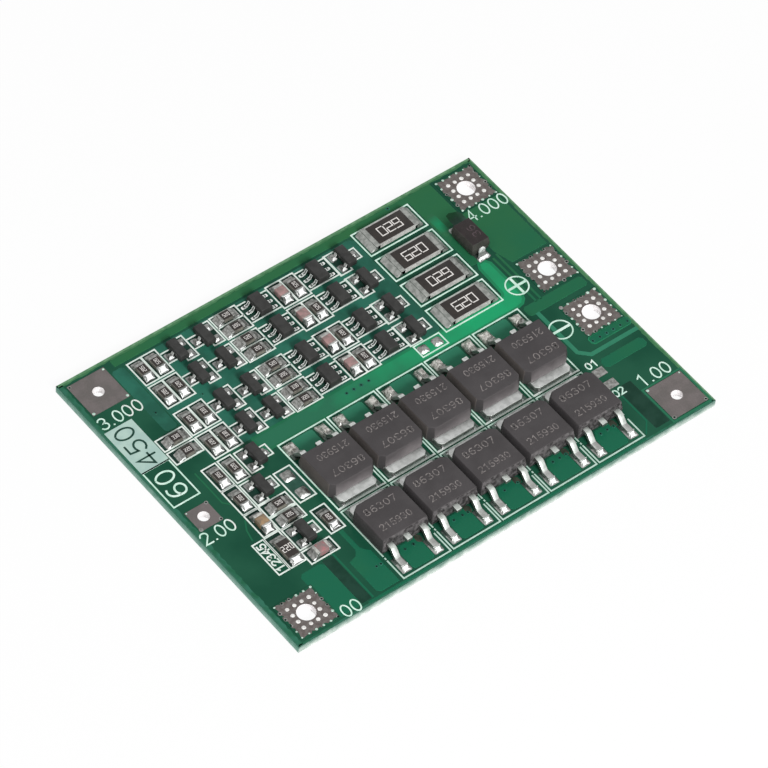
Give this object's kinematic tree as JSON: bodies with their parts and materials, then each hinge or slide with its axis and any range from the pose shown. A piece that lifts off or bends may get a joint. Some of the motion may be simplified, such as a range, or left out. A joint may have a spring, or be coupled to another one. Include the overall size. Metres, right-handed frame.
{
  "type": "battery management board",
  "caption": "Flat green circuit board with soldered power transistors, balancing resistors, monitor chips and plated solder terminals for a battery pack.",
  "frame": {"origin": "centre of the board's flat underside", "axes": "+X along the board's long side towards the load terminals, +Y towards the cell rows and battery plus, +Z out of the side that carries the parts"},
  "size_m": [0.06, 0.045, 0.0033],
  "materials": {
    "solder_mask": "glossy green mask",
    "plated_land": "dull plating",
    "moulded_black": "matte moulded",
    "tinned_lead": "tinned",
    "solder": "bright solder",
    "resistor_ceramic": "white ceramic",
    "resistor_coat": "dark glass coat",
    "capacitor_ceramic": "brown ceramic",
    "silkscreen": "printed ink"
  },
  "bodies": {
    "root": {"balance_resistor_1": "resistor_ceramic", "balance_resistor_2": "resistor_ceramic", "balance_resistor_3": "resistor_ceramic", "balance_resistor_4": "resistor_ceramic", "balance_resistor_caps": "solder", "balance_resistor_coats": "resistor_coat", "bare_lands": "solder", "battery_minus_terminal": "plated_land", "battery_plus_terminal": "plated_land", "capacitor_bodies": "capacitor_ceramic", "capacitor_ends": "solder", "cell_tap_1_terminal": "plated_land", "cell_tap_2_terminal": "plated_land", "cell_tap_3_terminal": "plated_land", "chip_resistor_bodies": "resistor_ceramic", "chip_resistor_coats": "resistor_coat", "chip_resistor_ends": "solder", "circuit_board": "solder_mask", "diode_body": "moulded_black", "diode_leads": "tinned_lead", "load_minus_terminal": "plated_land", "load_plus_terminal": "plated_land", "monitor_chip_1": "moulded_black", "monitor_chip_2": "moulded_black", "monitor_chip_3": "moulded_black", "monitor_chip_4": "moulded_black", "monitor_chip_5": "moulded_black", "monitor_chip_6": "moulded_black", "monitor_chip_7": "moulded_black", "monitor_chip_8": "moulded_black", "monitor_leads_row_1": "tinned_lead", "monitor_leads_row_2": "tinned_lead", "monitor_leads_row_3": "tinned_lead", "monitor_leads_row_4": "tinned_lead", "mosfet_body_1": "moulded_black", "mosfet_body_10": "moulded_black", "mosfet_body_2": "moulded_black", "mosfet_body_3": "moulded_black", "mosfet_body_4": "moulded_black", "mosfet_body_5": "moulded_black", "mosfet_body_6": "moulded_black", "mosfet_body_7": "moulded_black", "mosfet_body_8": "moulded_black", "mosfet_body_9": "moulded_black", "mosfet_leadframe_1": "tinned_lead", "mosfet_leadframe_10": "tinned_lead", "mosfet_leadframe_2": "tinned_lead", "mosfet_leadframe_3": "tinned_lead", "mosfet_leadframe_4": "tinned_lead", "mosfet_leadframe_5": "tinned_lead", "mosfet_leadframe_6": "tinned_lead", "mosfet_leadframe_7": "tinned_lead", "mosfet_leadframe_8": "tinned_lead", "mosfet_leadframe_9": "tinned_lead", "power_lands": "solder", "transistor_bodies": "moulded_black", "transistor_leads": "tinned_lead"}
  },
  "joints": []
}
